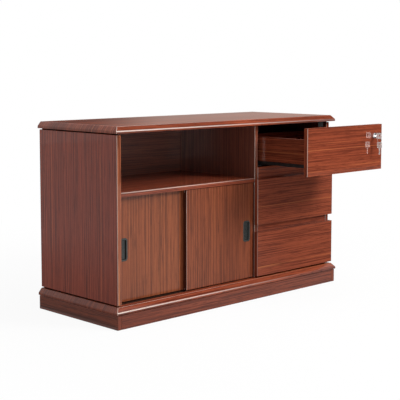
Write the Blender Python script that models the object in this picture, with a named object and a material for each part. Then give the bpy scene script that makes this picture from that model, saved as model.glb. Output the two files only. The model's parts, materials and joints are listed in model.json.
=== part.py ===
# Low office side cabinet: an open niche over two sliding doors, and three drawers with a lock on the top one.
# Metres, +Z up. The origin is on the floor under the middle of the plinth and the front faces -Y.

import math
from collections import namedtuple

import bmesh
import bpy
from mathutils import Matrix, Vector

for leftover in list(bpy.data.objects):
    bpy.data.objects.remove(leftover, do_unlink=True)

# Air between pieces that touch, and how round shapes are divided
JOINT_GAP = 0.0003
MERGE_DISTANCE = 1e-6
SMOOTH_ANGLE = math.radians(35)
CORNER_LIMIT = 0.49
CORNER_STEPS = 5

# Plinth and carcass
BAY_WIDTH = 0.700
DRAWER_BAY_WIDTH = 0.426
PLINTH_DEPTH = 0.465
PLINTH_HEIGHT = 0.054
PLINTH_BOARD = 0.018
BOARD = 0.018
CARCASS_INSET = 0.010
CARCASS_HEIGHT = 0.608
BACK_BOARD = 0.005

# Moulded base and top boards
BASE_THICKNESS = 0.025
TOP_THICKNESS = 0.025
BASE_NOSE_OUT = 0.004
TOP_NOSE_IN = 0.002
NOSE_BAND = 0.0085
NOSE_ROUND = 0.003
NOSE_STEPS = 3
ARRIS_ROUND = 0.0015
ARRIS_STEPS = 2

# Niche and sliding doors
NICHE_HEIGHT = 0.2095
SHELF_THICKNESS = 0.016
SHELF_SETBACK = 0.001
DOOR_THICKNESS = 0.018
DOOR_OVERLAP = 0.036
DOOR_SETBACK = 0.0015
DOOR_SPACING = 0.002
DOOR_END_GAP = 0.004
DOOR_FOOT_GAP = 0.002
DOOR_HEAD_GAP = 0.002

# Door tracks, let into the base and the shelf, and the strips that run in them
TRACK_MARGIN = 0.003
TRACK_THICKNESS = 0.006
TRACK_FLOOR = 0.0015
STRIP_THICKNESS = 0.004
STRIP_BURIED = 0.008

# Flush pulls
PULL_WIDTH = 0.038
PULL_HEIGHT = 0.083
PULL_RADIUS = 0.011
PULL_RIM = 0.004
PULL_PROUD = 0.0006
PULL_DEPTH = 0.012
PULL_FLOOR = 0.002
PULL_INSET = 0.039

# Drawers, from the bottom up, and the rails seen between their fronts
DRAWERS = ("bottom", "middle", "top")
RAILS = ("lower", "upper")
FRONT_THICKNESS = 0.018
FRONT_AIR = 0.001
FRONT_OVERHANG = 0.002
FRONT_FINGER_GAP = 0.0285
FRONT_FOOT_GAP = 0.001
FRONT_HEAD_GAP = 0.002
DRAWER_SIDE = 0.012
DRAWER_SIDE_AIR = 0.013
DRAWER_HEAD_AIR = 0.0275
DRAWER_BACK_AIR = 0.0317
DRAWER_FLOOR = 0.005
DRAWER_FLOOR_RISE = 0.008
DRAWER_GROOVE = 0.006
DRAWER_OPEN = 0.252
RAIL_THICKNESS = 0.018
RAIL_OVERLAP = 0.0175

# Runners under the drawer boxes
RUNNER_SHEET = 0.0015
RUNNER_DROP = 0.020
RUNNER_AIR = 0.004
RUNNER_BACK_AIR = 0.031
SLIDER_SHORT = 0.010
SLIDER_INNER = 0.010
SLIDER_AIR = 0.0045
SLIDER_UNDER_SIDE = 0.006

# Cam lock in the top drawer, its key, and the spare key on a ring
LOCK_FROM_TOP = 0.045
LOCK_SIDE_AIR = 0.0005
LOCK_PLUG_RADIUS = 0.0055
LOCK_WALL = 0.0025
LOCK_FLANGE = 0.003
LOCK_HEAD_OUT = 0.008
LOCK_BARREL_BEHIND = 0.009
LOCK_STEPS = 32
CAM_WIDTH = 0.013
CAM_THICKNESS = 0.0025
CAM_TIP_AIR = 0.007
CAM_CATCH = 0.014
CAM_STEPS = 8
STRIKE_WIDTH = 0.032
STRIKE_FLANGE = 0.020
STRIKE_SHEET = 0.002
STRIKE_AIR = 0.0035
KEY_THICKNESS = 0.002
KEY_NECK = 0.0055
KEY_BOW_WIDTH = 0.023
KEY_BOW_HEIGHT = 0.024
KEY_BOW_RADIUS = 0.004
KEY_HOLE_WIDTH = 0.010
KEY_HOLE_HEIGHT = 0.012
KEY_HOLE_RADIUS = 0.003
KEY_HOLE_EDGE = 0.0025
KEY_BLADE_WIDTH = 0.0065
KEY_BLADE_BURIED = 0.014
SPARE_BAR = 0.004
SPARE_HOLE_WIDTH = 0.012
SPARE_HOLE_HEIGHT = 0.007
SPARE_BLADE = 0.026
RING_RADIUS = 0.013
RING_WIRE = 0.0016
RING_AIR = 0.0005
RING_STEPS = 32
RING_SIDES = 8

# Planes that the pieces share
PLINTH_LENGTH = BAY_WIDTH + DRAWER_BAY_WIDTH + 3 * BOARD + 2 * CARCASS_INSET
PLINTH_LEFT = -PLINTH_LENGTH / 2
PLINTH_RIGHT = PLINTH_LENGTH / 2
PLINTH_FRONT = -PLINTH_DEPTH / 2
BACK = PLINTH_DEPTH / 2
SIDE_LEFT = PLINTH_LEFT + CARCASS_INSET
SIDE_RIGHT = PLINTH_RIGHT - CARCASS_INSET
FACE = PLINTH_FRONT + CARCASS_INSET
BASE_TOP = PLINTH_HEIGHT + BASE_THICKNESS
CARCASS_TOP = BASE_TOP + CARCASS_HEIGHT
TOP_FACE = CARCASS_TOP + TOP_THICKNESS
BAY_LEFT = SIDE_LEFT + BOARD
BAY_RIGHT = BAY_LEFT + BAY_WIDTH
DRAWERS_LEFT = BAY_RIGHT + BOARD
DRAWERS_RIGHT = SIDE_RIGHT - BOARD
EDGE = FACE + FRONT_THICKNESS + FRONT_AIR
BACK_FACE = BACK - BACK_BOARD
SHELF_TOP = CARCASS_TOP - NICHE_HEIGHT
SHELF_UNDER = SHELF_TOP - SHELF_THICKNESS
SHELF_FRONT = EDGE + SHELF_SETBACK
MOULD_RUN = BASE_NOSE_OUT + CARCASS_INSET

# Drawer fronts share the carcass height; the boxes behind them clear the rails and the back
FRONT_HEIGHT = (
    CARCASS_HEIGHT - FRONT_FOOT_GAP - FRONT_HEAD_GAP - (len(DRAWERS) - 1) * FRONT_FINGER_GAP
) / len(DRAWERS)
FRONT_PITCH = FRONT_HEIGHT + FRONT_FINGER_GAP
FRONT_LEFT = BAY_RIGHT - FRONT_OVERHANG
FRONT_RIGHT = SIDE_RIGHT + FRONT_OVERHANG
BOX_LEFT = DRAWERS_LEFT + DRAWER_SIDE_AIR
BOX_RIGHT = DRAWERS_RIGHT - DRAWER_SIDE_AIR
BOX_RISE = RAIL_OVERLAP + RUNNER_AIR + RUNNER_DROP
BOX_HEIGHT = FRONT_HEIGHT - BOX_RISE - DRAWER_HEAD_AIR - RAIL_OVERLAP
BOX_FRONT = FACE + FRONT_THICKNESS + JOINT_GAP
BOX_BACK = BACK_FACE - DRAWER_BACK_AIR
RUNNER_BACK = BACK_FACE - RUNNER_BACK_AIR
SLIDER_DROP = RUNNER_DROP - RUNNER_SHEET - SLIDER_AIR

# Doors, outer leaf first
OUTER_LEAF = SHELF_FRONT + DOOR_SETBACK
INNER_LEAF = OUTER_LEAF + DOOR_THICKNESS + DOOR_SPACING
DOOR_WIDTH = (BAY_WIDTH - 2 * DOOR_END_GAP + DOOR_OVERLAP) / 2
DOOR_FOOT = BASE_TOP + DOOR_FOOT_GAP
DOOR_HEAD = SHELF_UNDER - DOOR_HEAD_GAP
GROOVE_DEPTH = TRACK_THICKNESS - TRACK_FLOOR
GROOVE_WIDTH = STRIP_THICKNESS + 2 * JOINT_GAP

# Lock, cam, strike and key
LOCK_BARREL_RADIUS = LOCK_PLUG_RADIUS + LOCK_WALL
LOCK_HEAD_RADIUS = LOCK_BARREL_RADIUS + LOCK_FLANGE
LOCK_X = BOX_RIGHT - DRAWER_SIDE - LOCK_SIDE_AIR - LOCK_BARREL_RADIUS
CAM_LENGTH = LOCK_FROM_TOP + FRONT_HEAD_GAP - STRIKE_SHEET - CAM_TIP_AIR
STRIKE_DROP = STRIKE_SHEET + CAM_TIP_AIR + CAM_CATCH
KEY_BOW_OUT = LOCK_HEAD_OUT + KEY_NECK

Carrier = namedtuple("Carrier", "empty place")
Drawer = namedtuple("Drawer", "on open foot")


def finish(name, colour, roughness, metallic=0.0):
    material = bpy.data.materials.new(name)
    material.use_nodes = True
    shader = material.node_tree.nodes["Principled BSDF"]
    shader.inputs["Base Color"].default_value = (*colour, 1.0)
    shader.inputs["Roughness"].default_value = roughness
    shader.inputs["Metallic"].default_value = metallic
    return material


VENEER = finish("red_brown_veneer", (0.23, 0.075, 0.04), 0.22)
STEEL = finish("zinc_plated_steel", (0.55, 0.56, 0.58), 0.35, 1.0)
CHROME = finish("bright_chrome", (0.80, 0.81, 0.83), 0.12, 1.0)
PULL_BLACK = finish("black_pull", (0.02, 0.02, 0.022), 0.4)
TRACK_BROWN = finish("dark_brown_plastic", (0.06, 0.03, 0.02), 0.45)


def carrier(name, place):
    empty = bpy.data.objects.new(name, None)
    empty.location = place
    bpy.context.scene.collection.objects.link(empty)
    return Carrier(empty, Vector(place))


def add(name, shape, material, centre, on=None):
    bmesh.ops.recalc_face_normals(shape, faces=shape.faces)
    mesh = bpy.data.meshes.new(name)
    shape.to_mesh(mesh)
    shape.free()
    mesh.materials.append(material)
    piece = bpy.data.objects.new(name, mesh)
    piece.location = centre
    if on:
        piece.parent = on.empty
        piece.location = Vector(centre) - on.place
    bpy.context.scene.collection.objects.link(piece)
    return piece


def smooth(piece):
    piece.data.shade_smooth()
    piece.data.set_sharp_from_angle(angle=SMOOTH_ANGLE)
    return piece


def board(name, low, high, material, on=None):
    low, high = Vector(low), Vector(high)
    shape = bmesh.new()
    bmesh.ops.create_cube(shape, size=1.0)
    bmesh.ops.scale(shape, vec=high - low, verts=shape.verts)
    return add(name, shape, material, (low + high) / 2, on)


def plate(outlines, at_start, along):
    # An outline, less any holes in it, swept along a vector.
    shape = bmesh.new()
    edges = []
    for outline in outlines:
        ring = [shape.verts.new(at_start(a, b)) for a, b in outline]
        edges += [shape.edges.new((ring[i - 1], ring[i])) for i in range(len(ring))]
    bmesh.ops.triangle_fill(shape, edges=edges, use_beauty=True)
    swept = bmesh.ops.extrude_face_region(shape, geom=shape.faces[:])["geom"]
    moved = [part for part in swept if isinstance(part, bmesh.types.BMVert)]
    bmesh.ops.translate(shape, vec=along, verts=moved)
    return shape


def strip_along_x(name, outline, low, high, material, on=None):
    # The outline is in (Y, Z).
    middle = Vector(((low + high) / 2, *outline[0]))
    shape = plate([outline], lambda y, z: Vector((low, y, z)) - middle, (high - low, 0, 0))
    return add(name, shape, material, middle, on)


def strip_along_y(name, outline, low, high, material, on=None):
    # The outline is in (X, Z).
    x, z = outline[0]
    middle = Vector((x, (low + high) / 2, z))
    shape = plate([outline], lambda x, z: Vector((x, low, z)) - middle, (0, high - low, 0))
    return add(name, shape, material, middle, on)


def rounded_rectangle(width, height, radius):
    radius = min(radius, CORNER_LIMIT * min(width, height))
    points = []
    for quarter, (right, upper) in enumerate(((1, 1), (-1, 1), (-1, -1), (1, -1))):
        across = right * (width / 2 - radius)
        up = upper * (height / 2 - radius)
        for step in range(CORNER_STEPS + 1):
            angle = (quarter + step / CORNER_STEPS) * math.pi / 2
            points.append((across + radius * math.cos(angle), up + radius * math.sin(angle)))
    return points


def cut(piece, cutter):
    cutter.hide_render = True
    cutter.display_type = "WIRE"
    difference = piece.modifiers.new("cut_" + cutter.name, "BOOLEAN")
    difference.operation = "DIFFERENCE"
    difference.solver = "EXACT"
    difference.object = cutter


def moulded_board(name, nose_out, underside, upper_face):
    # A square band under a sloped edge on the front and both ends; the back is square.
    left, right, front = PLINTH_LEFT - nose_out, PLINTH_RIGHT + nose_out, PLINTH_FRONT - nose_out
    middle = Vector(((left + right) / 2, (front + BACK) / 2, underside))
    shape = bmesh.new()
    corners = [(left, front), (right, front), (right, BACK), (left, BACK)]
    face = shape.faces.new([shape.verts.new(Vector((x, y, underside)) - middle) for x, y in corners])

    def rise(base, height):
        grown = bmesh.ops.extrude_face_region(shape, geom=[base])["geom"]
        verts = [part for part in grown if isinstance(part, bmesh.types.BMVert)]
        bmesh.ops.translate(shape, vec=(0, 0, height), verts=verts)
        return verts, next(part for part in grown if isinstance(part, bmesh.types.BMFace))

    _, band_face = rise(face, NOSE_BAND)
    top_verts, _ = rise(band_face, upper_face - underside - NOSE_BAND)
    bmesh.ops.delete(shape, geom=[band_face], context="FACES_ONLY")
    for vert in top_verts:
        vert.co.x -= math.copysign(MOULD_RUN, vert.co.x)
        if vert.co.y < 0:
            vert.co.y += MOULD_RUN
    back_line = BACK - middle.y

    def open_edges(height):
        return [
            edge
            for edge in shape.edges
            if all(abs(v.co.z - height) < JOINT_GAP for v in edge.verts)
            and not all(abs(v.co.y - back_line) < JOINT_GAP for v in edge.verts)
        ]

    for height, radius, steps in (
        (NOSE_BAND, NOSE_ROUND, NOSE_STEPS),
        (upper_face - underside, ARRIS_ROUND, ARRIS_STEPS),
    ):
        bmesh.ops.bevel(
            shape, geom=open_edges(height), offset=radius, segments=steps, profile=0.5, affect="EDGES",
            clamp_overlap=True, material=-1,
        )
    return add(name, shape, VENEER, middle)


def build_plinth():
    top = PLINTH_HEIGHT - JOINT_GAP
    inner_left, inner_right = PLINTH_LEFT + PLINTH_BOARD, PLINTH_RIGHT - PLINTH_BOARD
    inner_front, inner_back = PLINTH_FRONT + PLINTH_BOARD, BACK - PLINTH_BOARD
    board("plinth_left", (PLINTH_LEFT, PLINTH_FRONT, 0), (inner_left, BACK, top), VENEER)
    board("plinth_right", (inner_right, PLINTH_FRONT, 0), (PLINTH_RIGHT, BACK, top), VENEER)
    between = inner_left + JOINT_GAP, inner_right - JOINT_GAP
    board("plinth_front", (between[0], PLINTH_FRONT, 0), (between[1], inner_front, top), VENEER)
    board("plinth_back", (between[0], inner_back, 0), (between[1], BACK, top), VENEER)
    board(
        "plinth_stretcher",
        (-PLINTH_BOARD / 2, inner_front + JOINT_GAP, 0),
        (PLINTH_BOARD / 2, inner_back - JOINT_GAP, top),
        VENEER,
    )


def track_outline(flat, floor, leaf_centres):
    # A strip with one groove per leaf. The grooves open on the flat side.
    front = OUTER_LEAF + TRACK_MARGIN
    back = INNER_LEAF + DOOR_THICKNESS - TRACK_MARGIN
    inward = math.copysign(GROOVE_DEPTH, floor - flat)
    points = [(front, floor), (front, flat)]
    for centre in leaf_centres:
        near, far = centre - GROOVE_WIDTH / 2, centre + GROOVE_WIDTH / 2
        points += [(near, flat), (near, flat + inward), (far, flat + inward), (far, flat)]
    return points + [(back, flat), (back, floor)]


def build_carcass():
    foot, head = BASE_TOP + JOINT_GAP, CARCASS_TOP - JOINT_GAP
    base = moulded_board("base_board", BASE_NOSE_OUT, PLINTH_HEIGHT, BASE_TOP)
    moulded_board("top_board", -TOP_NOSE_IN, CARCASS_TOP, TOP_FACE)
    board("left_side_panel", (SIDE_LEFT, FACE, foot), (BAY_LEFT, BACK, head), VENEER)
    board("right_side_panel", (DRAWERS_RIGHT, EDGE, foot), (SIDE_RIGHT, BACK, head), VENEER)
    behind = BACK_FACE - JOINT_GAP
    board("centre_divider", (BAY_RIGHT, EDGE, foot), (DRAWERS_LEFT, behind, head), VENEER)
    board(
        "back_panel",
        (BAY_LEFT + JOINT_GAP, BACK_FACE, foot),
        (DRAWERS_RIGHT - JOINT_GAP, BACK, head),
        VENEER,
    )
    bay = BAY_LEFT + JOINT_GAP, BAY_RIGHT - JOINT_GAP
    shelf = board("shelf_board", (bay[0], SHELF_FRONT, SHELF_UNDER), (bay[1], behind, SHELF_TOP), VENEER)
    rails = DRAWERS_LEFT + JOINT_GAP, DRAWERS_RIGHT - JOINT_GAP
    for below, name in enumerate(RAILS):
        gap_foot = BASE_TOP + FRONT_FOOT_GAP + below * FRONT_PITCH + FRONT_HEIGHT
        board(
            f"drawer_rail_{name}",
            (rails[0], EDGE, gap_foot - RAIL_OVERLAP),
            (rails[1], EDGE + RAIL_THICKNESS, gap_foot + FRONT_FINGER_GAP + RAIL_OVERLAP),
            VENEER,
        )

    leaf_centres = [leaf + DOOR_THICKNESS / 2 for leaf in (OUTER_LEAF, INNER_LEAF)]
    pocket_front = OUTER_LEAF + TRACK_MARGIN - JOINT_GAP
    pocket_back = INNER_LEAF + DOOR_THICKNESS - TRACK_MARGIN + JOINT_GAP
    lower_floor = BASE_TOP - TRACK_THICKNESS
    upper_floor = SHELF_UNDER + TRACK_THICKNESS
    strip_along_x(
        "door_track_lower", track_outline(BASE_TOP, lower_floor, leaf_centres), *bay, TRACK_BROWN
    )
    strip_along_x(
        "door_track_upper", track_outline(SHELF_UNDER, upper_floor, leaf_centres), *bay, TRACK_BROWN
    )
    over = TRACK_THICKNESS
    cut(base, board(
        "pocket_lower",
        (BAY_LEFT, pocket_front, lower_floor - JOINT_GAP),
        (BAY_RIGHT, pocket_back, BASE_TOP + over),
        VENEER,
    ))
    cut(shelf, board(
        "pocket_upper",
        (BAY_LEFT - BOARD, pocket_front, SHELF_UNDER - over),
        (BAY_RIGHT + BOARD, pocket_back, upper_floor + JOINT_GAP),
        VENEER,
    ))


def pull_shape():
    # A cup with a flat rim, opening towards -Y.
    rim = rounded_rectangle(PULL_WIDTH, PULL_HEIGHT, PULL_RADIUS)
    mouth = rounded_rectangle(PULL_WIDTH - 2 * PULL_RIM, PULL_HEIGHT - 2 * PULL_RIM, PULL_RADIUS - PULL_RIM)
    shape = bmesh.new()
    front, floor, back = -PULL_PROUD, PULL_DEPTH - PULL_FLOOR, PULL_DEPTH

    def ring(outline, y):
        return [shape.verts.new((x, y, z)) for x, z in outline]

    rings = [ring(rim, back), ring(rim, front), ring(mouth, front), ring(mouth, floor)]
    for first, second in zip(rings, rings[1:]):
        for i in range(len(first)):
            shape.faces.new((first[i - 1], first[i], second[i], second[i - 1]))
    shape.faces.new(rings[0])
    shape.faces.new(rings[-1])
    return shape


def build_door(side, left, face, pull_centre):
    right = left + DOOR_WIDTH
    back = face + DOOR_THICKNESS
    middle = face + DOOR_THICKNESS / 2
    on = carrier(f"door_{side}_carrier", ((left + right) / 2, middle, DOOR_FOOT))
    slot = GROOVE_WIDTH / 2
    buried = STRIP_BURIED + JOINT_GAP
    outline = [
        (face, DOOR_FOOT), (middle - slot, DOOR_FOOT), (middle - slot, DOOR_FOOT + buried),
        (middle + slot, DOOR_FOOT + buried), (middle + slot, DOOR_FOOT), (back, DOOR_FOOT),
        (back, DOOR_HEAD), (middle + slot, DOOR_HEAD), (middle + slot, DOOR_HEAD - buried),
        (middle - slot, DOOR_HEAD - buried), (middle - slot, DOOR_HEAD), (face, DOOR_HEAD),
    ]
    panel = strip_along_x(f"door_{side}_panel", outline, left, right, VENEER, on)
    thin = STRIP_THICKNESS / 2
    board(
        f"door_{side}_runner_strip",
        (left, middle - thin, BASE_TOP - GROOVE_DEPTH + JOINT_GAP),
        (right, middle + thin, DOOR_FOOT + STRIP_BURIED),
        TRACK_BROWN,
        on,
    )
    board(
        f"door_{side}_guide_strip",
        (left, middle - thin, DOOR_HEAD - STRIP_BURIED),
        (right, middle + thin, SHELF_UNDER + GROOVE_DEPTH - JOINT_GAP),
        TRACK_BROWN,
        on,
    )
    centre = (pull_centre, face, (DOOR_FOOT + DOOR_HEAD) / 2)
    add(f"door_{side}_pull", pull_shape(), PULL_BLACK, centre, on)
    wide, high = PULL_WIDTH + 2 * JOINT_GAP, PULL_HEIGHT + 2 * JOINT_GAP
    around = rounded_rectangle(wide, high, PULL_RADIUS + JOINT_GAP)
    bite = PULL_DEPTH + JOINT_GAP
    mortise = plate([around], lambda x, z: (x, -bite, z), (0, 2 * bite, 0))
    cut(panel, add(f"pull_mortise_{side}", mortise, VENEER, centre, on))


def build_doors():
    left_edge = BAY_LEFT + DOOR_END_GAP
    right_edge = BAY_RIGHT - DOOR_END_GAP
    build_door("left", left_edge, INNER_LEAF, left_edge + PULL_INSET)
    build_door("right", right_edge - DOOR_WIDTH, OUTER_LEAF, right_edge - PULL_INSET)


def build_runner(name, wall, inward, box_foot, drawer):
    # A channel on the wall with an upright tongue, and the slider on it that carries the drawer side.
    tongue = DRAWER_SIDE_AIR + SLIDER_UNDER_SIDE + RUNNER_SHEET + SLIDER_INNER / 2
    sheet = RUNNER_SHEET

    def place(points):
        return [(wall + inward * across, box_foot + up) for across, up in points]

    plate_foot = -JOINT_GAP - sheet
    tongue_head = plate_foot - JOINT_GAP
    near, far = tongue - sheet / 2, tongue + sheet / 2
    channel = place([
        (JOINT_GAP, -RUNNER_DROP), (far, -RUNNER_DROP), (far, tongue_head), (near, tongue_head),
        (near, sheet - RUNNER_DROP), (JOINT_GAP + sheet, sheet - RUNNER_DROP),
        (JOINT_GAP + sheet, tongue_head), (JOINT_GAP, tongue_head),
    ])
    strip_along_y(f"{name}_runner", channel, EDGE + JOINT_GAP, RUNNER_BACK, STEEL)
    inner = SLIDER_INNER / 2
    slider = place([
        (tongue - inner - sheet, -JOINT_GAP), (tongue - inner - sheet, -SLIDER_DROP),
        (tongue - inner, -SLIDER_DROP), (tongue - inner, plate_foot), (tongue + inner, plate_foot),
        (tongue + inner, -SLIDER_DROP), (tongue + inner + sheet, -SLIDER_DROP),
        (tongue + inner + sheet, -JOINT_GAP),
    ])
    start, end = BOX_FRONT - drawer.open, BOX_BACK - SLIDER_SHORT - drawer.open
    strip_along_y(f"{name}_slider", slider, start, end, STEEL, drawer.on)


def build_drawer(name, level, pulled_out):
    foot = BASE_TOP + FRONT_FOOT_GAP + level * FRONT_PITCH
    box_foot = foot + BOX_RISE
    box_head = box_foot + BOX_HEIGHT
    face, start, end = FACE - pulled_out, BOX_FRONT - pulled_out, BOX_BACK - pulled_out
    on = carrier(f"{name}_carrier", ((BOX_LEFT + BOX_RIGHT) / 2, face, box_foot))
    drawer = Drawer(on, pulled_out, foot)
    front = board(
        f"{name}_front",
        (FRONT_LEFT, face, foot),
        (FRONT_RIGHT, face + FRONT_THICKNESS, foot + FRONT_HEIGHT),
        VENEER,
        on,
    )
    floor_foot = box_foot + DRAWER_FLOOR_RISE
    floor_head = floor_foot + DRAWER_FLOOR
    for side, outer, inward in (("left", BOX_LEFT, 1), ("right", BOX_RIGHT, -1)):
        inner = outer + inward * DRAWER_SIDE
        groove = inner - inward * DRAWER_GROOVE
        outline = [
            (outer, box_foot), (inner, box_foot), (inner, floor_foot - JOINT_GAP),
            (groove, floor_foot - JOINT_GAP), (groove, floor_head + JOINT_GAP),
            (inner, floor_head + JOINT_GAP), (inner, box_head), (outer, box_head),
        ]
        strip_along_y(f"{name}_{side}_side", outline, start, end, VENEER, on)
        wall = outer - inward * DRAWER_SIDE_AIR
        build_runner(f"{name}_{side}", wall, inward, box_foot, drawer)
    inside = BOX_LEFT + DRAWER_SIDE + JOINT_GAP, BOX_RIGHT - DRAWER_SIDE - JOINT_GAP
    board(
        f"{name}_back",
        (inside[0], end - DRAWER_SIDE, floor_head + JOINT_GAP),
        (inside[1], end, box_head),
        VENEER,
        on,
    )
    reach = DRAWER_GROOVE - JOINT_GAP
    board(
        f"{name}_floor",
        (BOX_LEFT + DRAWER_SIDE - reach, start, floor_foot),
        (BOX_RIGHT - DRAWER_SIDE + reach, end, floor_head),
        VENEER,
        on,
    )
    return front, drawer


def turned(profile, steps):
    # A closed outline in (radius, Y), spun about the Y axis.
    shape = bmesh.new()
    ring = [shape.verts.new((radius, y, 0)) for radius, y in profile]
    edges = [shape.edges.new((ring[i - 1], ring[i])) for i in range(len(ring))]
    bmesh.ops.spin(
        shape, geom=ring + edges, cent=(0, 0, 0), axis=(0, 1, 0), angle=2 * math.pi, steps=steps,
        use_merge=True,
    )
    bmesh.ops.remove_doubles(shape, verts=shape.verts, dist=MERGE_DISTANCE)
    return shape


def rod_along_y(radius, front, back, steps):
    shape = bmesh.new()
    middle = Matrix.Translation((0, (front + back) / 2, 0))
    bmesh.ops.create_cone(
        shape, cap_ends=True, segments=steps, radius1=radius, radius2=radius, depth=back - front,
        matrix=middle @ Matrix.Rotation(math.pi / 2, 4, "X"),
    )
    return shape


def shifted(points, across, up):
    return [(a + across, b + up) for a, b in points]


def key_outline():
    # In (Y, Z) about the lock axis, with Y measured from the drawer face: blade inside, bow outside.
    bow_in, bow_out = -KEY_BOW_OUT, -KEY_BOW_OUT - KEY_BOW_WIDTH
    bow = shifted(rounded_rectangle(KEY_BOW_WIDTH, KEY_BOW_HEIGHT, KEY_BOW_RADIUS), (bow_in + bow_out) / 2, 0)
    half = KEY_BLADE_WIDTH / 2
    tip = KEY_BLADE_BURIED - LOCK_HEAD_OUT
    # The bow's outline starts on its inner side at the upper corner and runs over the top.
    blade = [(bow_in, -half), (tip - half, -half), (tip, 0), (tip - half, half), (bow_in, half)]
    hole_y = bow_out + KEY_HOLE_EDGE + KEY_HOLE_WIDTH / 2
    hole = shifted(rounded_rectangle(KEY_HOLE_WIDTH, KEY_HOLE_HEIGHT, KEY_HOLE_RADIUS), hole_y, 0)
    return bow + blade, hole, hole_y


def spare_outline(ring_y, top):
    # In (Y, Z), hanging blade down from the given top.
    bow = shifted(
        rounded_rectangle(KEY_BOW_WIDTH, KEY_BOW_HEIGHT, KEY_BOW_RADIUS), ring_y, top - KEY_BOW_HEIGHT / 2
    )
    half = KEY_BLADE_WIDTH / 2
    foot = top - KEY_BOW_HEIGHT
    tip = foot - SPARE_BLADE
    blade = [(ring_y - half, foot), (ring_y - half, tip + half), (ring_y, tip), (ring_y + half, tip + half),
             (ring_y + half, foot)]
    # The bow's outline has run round three of its four corners where the blade joins it.
    corners = len(bow) * 3 // 4
    hole = shifted(
        rounded_rectangle(SPARE_HOLE_WIDTH, SPARE_HOLE_HEIGHT, KEY_HOLE_RADIUS),
        ring_y, top - SPARE_BAR - SPARE_HOLE_HEIGHT / 2,
    )
    return bow[:corners] + blade + bow[corners:], hole


def build_lock(front, drawer):
    # The lock axis runs along Y; everything here is measured from where it meets the drawer face.
    axis = Vector((LOCK_X, FACE - drawer.open, drawer.foot + FRONT_HEIGHT - LOCK_FROM_TOP))
    turn = carrier("lock_turn_carrier", axis)
    behind = FRONT_THICKNESS + LOCK_BARREL_BEHIND
    bore = LOCK_PLUG_RADIUS + JOINT_GAP
    seat = -JOINT_GAP
    barrel = LOCK_BARREL_RADIUS
    housing = turned(
        [(bore, -LOCK_HEAD_OUT), (LOCK_HEAD_RADIUS, -LOCK_HEAD_OUT), (LOCK_HEAD_RADIUS, seat),
         (barrel, seat), (barrel, behind), (bore, behind)],
        LOCK_STEPS,
    )
    smooth(add("lock_housing", housing, CHROME, axis, drawer.on))
    hole = rod_along_y(barrel + JOINT_GAP, -FRONT_THICKNESS, 2 * FRONT_THICKNESS, LOCK_STEPS)
    cut(front, add("lock_hole", hole, VENEER, axis, drawer.on))

    plug = rod_along_y(LOCK_PLUG_RADIUS, -LOCK_HEAD_OUT, behind + JOINT_GAP, LOCK_STEPS)
    plug = smooth(add("lock_plug", plug, CHROME, axis, turn))
    air = Vector((JOINT_GAP, JOINT_GAP, JOINT_GAP))
    slot = Vector((KEY_THICKNESS / 2, KEY_BLADE_BURIED, KEY_BLADE_WIDTH / 2)) + air
    mouth = axis - Vector((0, LOCK_HEAD_OUT, 0))
    cut(plug, board("keyway", mouth - slot, mouth + slot, CHROME, turn))

    cam_front = behind + 2 * JOINT_GAP
    half = CAM_WIDTH / 2
    tip = half - CAM_LENGTH
    angles = [math.pi * step / CAM_STEPS for step in range(CAM_STEPS + 1)]
    eye = [(half * math.sin(angle), half * math.cos(angle)) for angle in angles]
    end = [(tip - half * math.sin(angle), -half * math.cos(angle)) for angle in angles]
    cam = plate([eye + end], lambda x, z: (x, cam_front, z), (0, CAM_THICKNESS, 0))
    add("lock_cam", cam, STEEL, axis, turn)
    build_keys(axis, turn)
    build_strike(axis.x, FACE + cam_front)


def build_keys(axis, turn):
    outline, hole, hole_y = key_outline()
    side = -KEY_THICKNESS / 2
    key = plate([outline, hole], lambda y, z: (side, y, z), (KEY_THICKNESS, 0, 0))
    add("key", key, CHROME, axis, turn)

    # The ring hangs round the bar under the key's hole.
    bar_head = -KEY_HOLE_HEIGHT / 2
    bar = (bar_head - KEY_BOW_HEIGHT / 2) / 2
    hang = carrier("spare_key_carrier", axis + Vector((0, hole_y, bar)))
    wire = RING_WIRE / 2
    centre_z = bar_head + RING_AIR + wire - RING_RADIUS
    angles = [2 * math.pi * corner / RING_SIDES for corner in range(RING_SIDES)]
    section = [(RING_RADIUS + wire * math.cos(angle), wire * math.sin(angle)) for angle in angles]
    ring = turned(section, RING_STEPS)
    smooth(add("key_ring", ring, CHROME, axis + Vector((0, hole_y, centre_z)), hang))
    ring_head = centre_z - RING_RADIUS + wire
    outline, hole = spare_outline(hole_y, ring_head + RING_AIR + SPARE_BAR)
    spare = plate([outline, hole], lambda y, z: (side, y, z), (KEY_THICKNESS, 0, 0))
    add("spare_key", spare, CHROME, axis, hang)


def build_strike(lock_x, locked_cam):
    # An angle under the top board, just in front of where the cam stands when the drawer is locked.
    strike_back = locked_cam - STRIKE_AIR
    strike_front = strike_back - STRIKE_SHEET
    head = CARCASS_TOP - JOINT_GAP
    angle = [
        (strike_front, head), (strike_front, head - STRIKE_DROP), (strike_back, head - STRIKE_DROP),
        (strike_back, head - STRIKE_SHEET), (strike_back + STRIKE_FLANGE, head - STRIKE_SHEET),
        (strike_back + STRIKE_FLANGE, head),
    ]
    strip_along_x("lock_strike", angle, lock_x - STRIKE_WIDTH / 2, lock_x + STRIKE_WIDTH / 2, STEEL)


build_plinth()
build_carcass()
build_doors()
for level, name in enumerate(DRAWERS[:-1]):
    build_drawer(f"drawer_{name}", level, 0.0)
build_lock(*build_drawer(f"drawer_{DRAWERS[-1]}", len(DRAWERS) - 1, DRAWER_OPEN))
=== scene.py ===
# Office side cabinet in glossy red-brown veneer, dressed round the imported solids. Metres, front towards -Y.
import json
import math

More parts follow.
